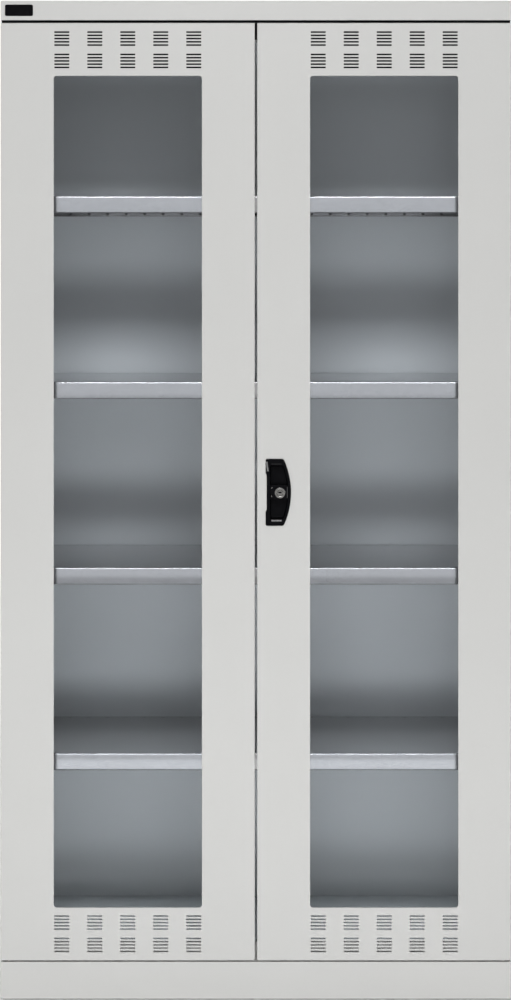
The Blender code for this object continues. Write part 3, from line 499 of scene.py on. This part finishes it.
# ---------------------------------------------------------------- shelves
def make_shelf():
    """A shelf with round holes and round-ended slots, as the lowest one stands."""
    low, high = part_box("shelf_1")
    bm = bmesh.new()
    add_box(bm, low, high)
    weight = bm.edges.layers.float.new("bevel_weight_edge")
    for edge in bm.edges:
        along_x = abs(edge.verts[0].co.x - edge.verts[1].co.x) > SHELF_FOLD
        edge[weight] = 1.0 if along_x else 0.0
    shelf = make("shelf_1_sheet", bm, "carcass", "galvanised_steel", "shelf_1")
    bevel(shelf, SHELF_FOLD, 5, weighted=True)
    thicken(shelf)
    bm = bmesh.new()
    add_box(bm, (low.x + SHELF_END_LIP, low.y + SHELF_LIP, low.z - SHEET),
            (high.x - SHELF_END_LIP, high.y - SHELF_LIP, low.z + 4 * SHEET))
    cut(shelf, bm)
    reach = int((high.x - SHELF_LIP) / SHELF_PITCH)
    steps = [SHELF_PITCH * i for i in range(-reach, reach + 1)]
    bm = bmesh.new()
    for x in steps:
        for y in (low.y + SHELF_HOLE_INSET, high.y - SHELF_HOLE_INSET):
            add_bar(bm, (x, y, high.z), SHELF_HOLE / 2, 6 * SHEET, "Z", 16)
    cut(shelf, bm)
    width, height = SHELF_SLOT
    floor = low.z + SHELF_SLOT_RISE
    bm = bmesh.new()
    for x in steps:
        add_prism(bm, rounded_outline(x - width / 2, floor, x + width / 2, floor + height,
                                      width * 0.49, 4), high.y - PAST, high.y + PAST)
    cut(shelf, bm)
    return shelf


shelf = make_shelf()
for node in ("shelf_2", "shelf_3", "shelf_4"):
    mesh = shelf.data.copy()
    mesh.transform(Matrix.Translation(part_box(node)[0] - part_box("shelf_1")[0]))
    add_piece(node + "_sheet", mesh, "carcass", node)


# ---------------------------------------------------------------- uprights
def make_upright(node):
    """A channel with a hook slot every 25 mm, in step with the shelves' clips."""
    low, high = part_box(node)
    side = 1 if low.x > 0 else -1
    outer, web = (high.x, low.x) if side > 0 else (low.x, high.x)
    path = [(outer, low.y), (web, low.y), (web, high.y), (outer, high.y)]
    bm = bmesh.new()
    ends = [[bm.verts.new((x, y, z)) for x, y in path] for z in (low.z, high.z)]
    for i in range(3):
        corners = [ends[0][i], ends[0][i + 1], ends[1][i + 1], ends[1][i]]
        bm.faces.new(corners[::-1] if side > 0 else corners)
    upright = make(node + "_channel", bm, "carcass", "galvanised_steel", node)
    bevel(upright, UPRIGHT_FOLD, 4)
    thicken(upright)
    settle(upright)
    width, height = UPRIGHT_SLOT
    middle = (low.y + high.y) / 2
    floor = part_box("shelf_1")[1].z - CLIP_SLOT_DROP
    while floor - UPRIGHT_SLOT_PITCH > low.z + height:
        floor -= UPRIGHT_SLOT_PITCH
    bm = bmesh.new()
    while floor + 2 * height < high.z:
        outline = rounded_outline(middle - width / 2, floor, middle + width / 2, floor + height,
                                  UPRIGHT_SLOT_CORNER, 3)
        add_prism(bm, outline, web - 3 * SHEET, web + 3 * SHEET, "X")
        floor += UPRIGHT_SLOT_PITCH
    cut(upright, bm)


for corner in ("left_front", "right_front", "left_rear", "right_rear"):
    make_upright(corner + "_upright")


# ---------------------------------------------------------------- handle and lock
def bent_corner(before, corner, after, steps=8):
    """Points of a rounded corner, between a point before it and one after it."""
    points = []
    for i in range(steps + 1):
        t = i / steps
        points.append(tuple((1 - t) ** 2 * before[k] + 2 * t * (1 - t) * corner[k]
                            + t ** 2 * after[k] for k in range(2)))
    return points


def bow_arc(inset):
    """Centre and radius of the arc along the handle's bowed side."""
    bow = HANDLE_MIDDLE_WIDTH - HANDLE_END_WIDTH
    radius = ((HANDLE_HEIGHT / 2) ** 2 + bow ** 2) / (2 * bow) - inset
    return HANDLE_MIDDLE_WIDTH - inset - radius, radius


def d_outline(flat, bowed, ends, waist=0.0, steps=36):
    """The handle's D, inset from its full outline, with the flat side drawn in by the waist."""
    top = HANDLE_HEIGHT / 2 - ends
    centre, radius = bow_arc(bowed)
    half_angle = math.asin(top / radius)
    end_x = centre + radius * math.cos(half_angle)
    near = half_angle - HANDLE_CORNER / radius
    arc = [(centre + radius * math.cos(near * (2 * i / steps - 1)),
            radius * math.sin(near * (2 * i / steps - 1))) for i in range(steps + 1)]
    r = HANDLE_CORNER
    points = bent_corner((flat, r - top), (flat, -top), (flat + r, -top))
    points += bent_corner((end_x - r, -top), (end_x, -top), arc[0])
    points += arc[1:-1]
    points += bent_corner(arc[-1], (end_x, top), (end_x - r, top))
    points += bent_corner((flat + r, top), (flat, top), (flat, top - r))
    for i in range(13):
        share = (1 - math.cos(math.pi * i / 12)) / 2
        points.append((flat + waist * share, WAIST_HALF + WAIST_SLOPE * (1 - i / 12)))
    for i in range(13):
        share = (1 + math.cos(math.pi * i / 12)) / 2
        points.append((flat + waist * share, -WAIST_HALF - WAIST_SLOPE * i / 12))
    return points


def loft(bm, place, rings):
    """A closed solid through rings of (depth, outline)."""
    loops = [[bm.verts.new((place.x + x, place.y + y, place.z + z)) for x, z in outline]
             for y, outline in rings]
    for near, far in zip(loops, loops[1:]):
        for i in range(len(near)):
            j = (i + 1) % len(near)
            bm.faces.new((near[i], near[j], far[j], far[i]))
    bm.faces.new(loops[0])
    bm.faces.new(loops[-1])
    bmesh.ops.recalc_face_normals(bm, faces=bm.faces)


def dish_rings():
    """The dish's outlines at their depths, from its rear round the rim and down to its floor."""
    quarter = [math.radians(90 * i / 5) for i in range(6)]
    rings = [(DISH_DEPTH + DISH_WALL, d_outline(*[HANDLE_BODY] * 3)),
             (-SEAT, d_outline(*[HANDLE_FLANGE] * 3)), (-SEAT, d_outline(0, 0, 0, WAIST))]
    for angle in quarter:
        inset = HANDLE_ROUND * (1 - math.cos(angle))
        rings.append((-HANDLE_PROUD + HANDLE_ROUND * (1 - math.sin(angle)),
                      d_outline(inset, inset, inset, WAIST)))
    across, down = RIM_CREASE
    rings.append((-HANDLE_PROUD, d_outline(*[side - across for side in RIM])))
    for share in (0, 0.08, 0.92, 1):
        inset = [near + (far - near) * share for near, far in zip(RIM, RIM_SLOPE)]
        rings.append((-HANDLE_PROUD + RIM_SLOPE_DEPTH * share, d_outline(*inset)))
    rings.append((-HANDLE_PROUD + RIM_SLOPE_DEPTH + down,
                  d_outline(*[side + across for side in RIM_SLOPE])))
    fillet_top = 1 - DISH_FILLET / (DISH_DEPTH + HANDLE_PROUD - HANDLE_ROUND)
    wall = [rim + (floor - rim) * fillet_top for rim, floor in zip(RIM, DISH_FLOOR)]
    for angle in quarter:
        inset = [side + DISH_FILLET * (1 - math.cos(angle)) for side in wall]
        rings.append((DISH_DEPTH - DISH_FILLET * (1 - math.sin(angle)), d_outline(*inset)))
    return rings


def make_handle():
    """The dish with its rolled rim and filleted floor, the facets on its rim, and slivers of
    painted highlight on them.
    """
    bm = bmesh.new()
    loft(bm, HANDLE_PLACE, dish_rings())
    dish = make("handle_dish", bm, "right_door", "black_nylon", "handle_shell")
    bm = bmesh.new()
    add_bar(bm, LOCK + Vector((0, DISH_DEPTH, 0)), CYLINDER_RADIUS + SEAT, 8 * DISH_WALL, "Y", 48)
    cut(dish, bm)
    bm = bmesh.new()
    front, side = FRONT - HANDLE_PROUD, HANDLE_PLACE.x - FACET_PAST
    for x, z in FACET_EDGE:
        fall = (x - side) * FACET_FALL
        for corner in ((x, front), (side, front + fall), (x, front - PAST), (side, front - PAST)):
            bm.verts.new((*corner, z))
    bmesh.ops.convex_hull(bm, input=bm.verts)
    cut(dish, bm)
    add_facet("handle_facet_side", [(x - inset, front + inset * FACET_FALL, z)
                                    for x, z in FACET_EDGE for inset in FACET_WIDTH],
              painted_glint_nylon)
    middle, half = HANDLE_PLACE.x + FACET_BAR[0], FACET_BAR[1] / 2
    for name, way in (("upper", 1), ("lower", -1)):
        corners = []
        for share in FACET_BAR_SHARES:
            inset = RIM[2] + (RIM_SLOPE[2] - RIM[2]) * share
            z = HANDLE_PLACE.z + way * (HANDLE_HEIGHT / 2 - inset)
            corners += [(middle - half, front + RIM_SLOPE_DEPTH * share, z),
                        (middle + half, front + RIM_SLOPE_DEPTH * share, z)]
        add_facet("handle_facet_" + name, corners, painted_sheen_nylon)


def add_facet(name, corners, material):
    """A sliver of painted highlight, in a more reflective nylon, lying on the handle's rim or on
    the lock's block.
    """
    bm = bmesh.new()
    for x, y, z in corners:
        for shift in SLIVER:
            bm.verts.new((x, max(y + shift, cad_low.y), z))
    bmesh.ops.convex_hull(bm, input=bm.verts)
    make(name, bm, "right_door", "black_nylon", material=material)


def make_lock_block():
    """The block across the dish, with its two small pins beside the cylinder."""
    centre, radius = bow_arc(RIM[1])
    half = HOUSING_HEIGHT / 2
    left = RIM[0] + SEAT
    right = centre + math.sqrt(radius ** 2 - half ** 2) - SEAT
    face, back = HOUSING_SETBACK - HANDLE_PROUD, DISH_DEPTH - SEAT
    bm = bmesh.new()
    verts = add_box(bm, HANDLE_PLACE + Vector((left, face, -half)),
                    HANDLE_PLACE + Vector((right, back, half)))
    middle = HANDLE_PLACE.x + (left + right) / 2
    for vert in verts:
        if vert.co.y > FRONT:
            vert.co.x -= math.copysign(HOUSING_TAPER, vert.co.x - middle)
    block = make("lock_block", bm, "right_door", "black_nylon", "lock_housing")
    bevel(block, HOUSING_ROUND, 5)
    bm = bmesh.new()
    add_bar(bm, LOCK + Vector((0, HOUSING_BORE[0], 0)), CYLINDER_RADIUS + SEAT, HOUSING_BORE[1],
            "Y", 64)
    cut(block, bm)
    inset, across, along = HOUSING_GLINT
    edge = HANDLE_PLACE + Vector((right - inset, face, 0))
    add_facet("lock_block_edge_glint", [edge + Vector((x, 0, z)) for x in (-across, across)
                                  for z in (-along, along)], painted_glint_nylon)
    inset, rise = PIN_PLACE
    for name, z in (("upper", rise), ("lower", -rise)):
        bm = bmesh.new()
        turned(bm, HANDLE_PLACE + Vector((left + inset, face, z)), PIN_PROFILE, 20)
        settle(make("lock_block_pin_" + name, bm, "right_door", "nickel_plate"))


def make_cylinder():
    """The fixed ring with its cone, and its small lug."""
    head_back = -HANDLE_PROUD + HOUSING_SETBACK - SEAT
    cone = [(radius, -HANDLE_PROUD + (radius - RING_CREST) * math.tan(math.radians(RING_ANGLE)))
            for radius in (RING_CREST, RING_CREST + RING_CREASE, CYLINDER_HEAD - RING_CREASE,
                           CYLINDER_HEAD)]
    chamfer, depth = RING_CHAMFER
    bm = bmesh.new()
    turned(bm, LOCK, [(CYLINDER_BORE + chamfer, -HANDLE_PROUD + chamfer),
                      (RING_CREST - chamfer, -HANDLE_PROUD), *cone, (CYLINDER_HEAD, head_back),
                      (CYLINDER_RADIUS, head_back), (CYLINDER_RADIUS, CYLINDER_REACH),
                      (CYLINDER_BORE, CYLINDER_REACH), (CYLINDER_BORE, -HANDLE_PROUD + depth)],
           closed=True)
    settle(make("lock_cylinder_ring", bm, "right_door", "nickel_plate", "lock_cylinder"))
    bm = bmesh.new()
    add_bar(bm, LOCK + LUG_PLACE, LUG_RADIUS, LUG_LENGTH, "Y", 24)
    settle(make("lock_cylinder_lug", bm, "right_door", "nickel_plate"))


def make_plug():
    """The plug with its key slot, a black box of painted shade inside it, and the neck that carries
    the cam.
    """
    radius = CYLINDER_BORE - PLUG_GAP
    face = -HANDLE_PROUD + SEAT
    neck, neck_end = PLUG_NECK
    rivet, rivet_end = PLUG_RIVET
    bm = bmesh.new()
    turned(bm, LOCK, [(0, face), (radius - PLUG_CHAMFER, face), (radius, face + PLUG_CHAMFER),
                      (radius, PLUG_END), (neck, PLUG_END), (neck, neck_end), (rivet, neck_end),
                      (rivet, rivet_end), (0, rivet_end)])
    plug = settle(make("lock_plug_core", bm, "lock_barrel", "nickel_plate", "lock_plug"))
    width, height, depth = KEY_SLOT
    slot = LOCK + Vector((0, face, KEY_SLOT_RISE))
    outline = rounded_outline(-width / 2, -height / 2, width / 2, height / 2, KEY_SLOT_CORNER, 4)
    bm = bmesh.new()
    add_prism(bm, [(slot.x + x, slot.z + z) for x, z in outline], slot.y - PAST, slot.y + depth)
    cut(plug, bm)
    # painted shade: a black box inside the key slot, where there is only shade
    make_box("lock_plug_way_shade",
             slot + Vector((-width / 2 - SEAT, KEY_SHADE_SETBACK, -height / 2 - SEAT)),
             slot + Vector((width / 2 + SEAT, depth + SEAT, height / 2 + SEAT)),
             "lock_barrel", "black_nylon")


make_handle()
make_lock_block()
make_cylinder()
make_plug()


# ---------------------------------------------------------------- bare plate on the top band
def make_badge():
    """A blank rounded plate with a raised border."""
    outer, inner = BADGE_CORNER
    bm = bmesh.new()
    add_prism(bm, rounded_outline(BADGE_LEFT, BADGE_BOTTOM, BADGE_RIGHT, BADGE_TOP, outer),
              FRONT - BADGE_THICKNESS, FRONT)
    badge = make("blank_plate", bm, "carcass", "black_nylon")
    bevel(badge, BADGE_ROUND, 3, 60)
    settle(badge)
    field = rounded_outline(BADGE_LEFT + BADGE_BORDER, BADGE_BOTTOM + BADGE_BORDER,
                            BADGE_RIGHT - BADGE_BORDER, BADGE_TOP - BADGE_BORDER, inner)
    bm = bmesh.new()
    add_prism(bm, field, FRONT - PAST, FRONT - BADGE_THICKNESS + BADGE_ROUND)
    cut(badge, bm)


make_badge()


# ---------------------------------------------------------------- thin trim and painted shade
def make_trim():
    """Covers behind the upper vents with black sheets of painted shade, and black strips of painted
    shade in the top gap, on the header and behind the shelves' slots.
    """
    for door in ("left_door", "right_door"):
        low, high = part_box(door + "_pane_frame")
        bottom, top = VENT_SHADE_RISE
        # painted shade: a black sheet right behind the vent slots, where there is only shade
        make_box(door + "_vent_shade_sheet", (low.x + VENT_SHADE_INSET, low.y, high.z + bottom),
                 (high.x - VENT_SHADE_INSET, low.y + VENT_SHADE_THICKNESS, high.z + top), door, "black_nylon")
        bottom, top = COVER_RISE
        cover = make_box(door + "_vent_cover",
                         (low.x + COVER_INSET, low.y + VENT_SHADE_THICKNESS, high.z + bottom),
                         (high.x - COVER_INSET, high.y, high.z + top), door,
                         "light_grey_powder_coat")
        bevel(cover, COVER_ROUND)
        settle(cover)
    low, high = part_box("top_cap")
    inset, lip, depth, bite = CAP_GAP_SHADE
    # painted shade: a black strip in the gap under the top cap
    make_box("top_cap_gap_shade", (low.x + inset, FRONT - lip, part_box("left_door_skin")[1].z + SEAT),
             (high.x - inset, FRONT + depth, low.z + bite), "carcass", "black_nylon")
    low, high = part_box("header_rail")
    along, across = HEADER_SHADE_INSET
    front, back = HEADER_SHADE_DEPTH
    # painted shade: a black strip on the header's front, seen as dark through the vents
    make_box("header_shade_strip", (low.x + along, low.y - front, low.z + across),
             (high.x - along, low.y - back, high.z - across), "carcass", "black_nylon")
    front, back = SLOT_SHADE_DEPTH
    for shelf in ("shelf_1", "shelf_2", "shelf_3", "shelf_4"):
        low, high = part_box(shelf)
        floor = low.z + SHELF_SLOT_RISE
        # painted shade: a black strip behind the rear slots, where there is only shade
        make_box(shelf + "_slot_shade_strip",
                 (low.x + SLOT_SHADE_INSET, high.y + front, floor - SLOT_SHADE_MARGIN),
                 (high.x - SLOT_SHADE_INSET, high.y + back, floor + SHELF_SLOT[1] + SLOT_SHADE_MARGIN),
                 "carcass", "black_nylon")


make_trim()


# ---------------------------------------------------------------- studio
def make_floor():
    """A pale floor that fades into the white background, and the light linking that skips it."""
    bm = bmesh.new()
    bmesh.ops.create_circle(bm, cap_ends=True, segments=96, radius=FLOOR_RADIUS)
    mesh = bpy.data.meshes.new("floor")
    bm.to_mesh(mesh)
    bm.free()
    floor = bpy.data.objects.new("floor", mesh)
    bpy.context.scene.collection.objects.link(floor)
    floor.location.z = -FLOOR_DROP
    finish = Finish("pale_floor", (0.80, 0.80, 0.795), 0.6, specular=0.2)
    finish.rough(finish.noise(6, 3), 0.55, 0.7)
    white = finish.node("Emission")
    length = finish.node("VectorMath", operation="LENGTH")
    finish.link(finish.place, length.inputs[0])
    both = finish.node("Math", operation="MULTIPLY")
    finish.link(finish.spread(length.outputs["Value"], 0, 1, *FLOOR_FADE), both.inputs[0])
    finish.link(background_rays(finish.tree), both.inputs[1])
    mix = finish.node("MixShader")
    finish.link(both.outputs[0], mix.inputs[0])
    finish.link(finish.shader.outputs[0], mix.inputs[1])
    finish.link(white.outputs[0], mix.inputs[2])
    finish.link(mix.outputs[0], finish.output.inputs[0])
    mesh.materials.append(finish.material)
    receivers = bpy.data.collections.new("all_but_the_floor")
    receivers.objects.link(floor)
    receivers.collection_objects[0].light_linking.link_state = "EXCLUDE"
    return receivers


def background_rays(tree):
    """1 for the rays that see the background: camera, glossy and transmission."""
    path = tree.nodes.new("ShaderNodeLightPath")
    total = path.outputs["Is Camera Ray"]
    for name in ("Is Glossy Ray", "Is Transmission Ray"):
        add = tree.nodes.new("ShaderNodeMath")
        add.operation = "MAXIMUM"
        tree.links.new(total, add.inputs[0])
        tree.links.new(path.outputs[name], add.inputs[1])
        total = add.outputs[0]
    return total


def make_world(strength):
    """An even light, seen as white where the background shows."""
    world = bpy.data.worlds.new("studio")
    bpy.context.scene.world = world
    world.use_nodes = True
    tree = world.node_tree
    tree.nodes.clear()
    output = tree.nodes.new("ShaderNodeOutputWorld")
    mix = tree.nodes.new("ShaderNodeMixShader")
    for slot, value in ((1, strength), (2, 1.0)):
        light = tree.nodes.new("ShaderNodeBackground")
        light.inputs["Color"].default_value = (1, 1, 1, 1)
        light.inputs["Strength"].default_value = value
        tree.links.new(light.outputs[0], mix.inputs[slot])
    tree.links.new(background_rays(tree), mix.inputs[0])
    tree.links.new(mix.outputs[0], output.inputs[0])


def area_light(name, place, target, width, height, power, mirrored=True, lit=None):
    """A soft box aimed at a point and not itself in view, for everything or for what is in lit."""
    light = bpy.data.lights.new(name, "AREA")
    light.shape = "RECTANGLE"
    light.size = width
    light.size_y = height
    light.energy = power
    lamp = bpy.data.objects.new(name, light)
    lamp.location = place
    lamp.rotation_euler = (Vector(target) - Vector(place)).to_track_quat("-Z", "Y").to_euler()
    lamp.visible_camera = False
    lamp.visible_glossy = mirrored
    if lit:
        lamp.light_linking.receiver_collection = lit
    bpy.context.scene.collection.objects.link(lamp)


def make_camera():
    """The photograph's level view, aimed from above the cabinet's middle."""
    data = bpy.data.cameras.new("photo_view")
    data.lens = 107.8
    data.sensor_width = 36
    data.shift_x = -0.0005
    data.shift_y = -0.238
    data.clip_end = 200
    camera = bpy.data.objects.new("photo_view", data)
    camera.location = (0, -6.276, 1.477)
    camera.rotation_euler = (math.pi / 2, 0, 0)
    bpy.context.scene.collection.objects.link(camera)
    bpy.context.scene.camera = camera


no_floor = make_floor()
make_world(0.03)
area_light("high", (0, -3.6, 3.35), (0, 0, 1.2), 1.8, 0.6, 66)
area_light("high_close", (0, -2.4, 2.82), (0, 0, 1.3), 2.4, 0.35, 6)
area_light("front_left", (-4.5, -4.5, 0.95), (0, 0, 1.0), 1.2, 1.2, 16, lit=no_floor)
area_light("front", (0, -3.2, 1.9), (0, 0, 1.1), 1.6, 0.5, 3, mirrored=False, lit=no_floor)
area_light("low_left", (-2.2, -2.6, 0.35), (0, 0, 0.9), 0.9, 0.5, 3.5, lit=no_floor)
area_light("low_right", (2.2, -2.6, 0.35), (0, 0, 0.9), 0.9, 0.5, 3, lit=no_floor)
area_light("low_middle", (0, -1.5, 0.12), (0, 0, 1.2), 2.4, 0.5, 3, lit=no_floor)
area_light("low_front", (0, -2.8, 0.12), (0, 0, 1.0), 2.4, 0.4, 31, mirrored=False,
           lit=no_floor)
area_light("low_close", (0, -1.3, 0.05), (0, 0, 0.05), 2.4, 0.06, 1, mirrored=False,
           lit=no_floor)
area_light("side_left", (-5.5, 1.5, 2.6), (-0.5, 0, 1.0), 2.5, 2.5, 170)
area_light("side_right", (5.5, 1.5, 2.6), (0.5, 0, 1.0), 2.5, 2.5, 170)
area_light("rear", (0, 6, 2.8), (0, 0.3, 1.0), 2.5, 2.5, 130)
make_camera()
bpy.context.scene.view_settings.view_transform = "Standard"
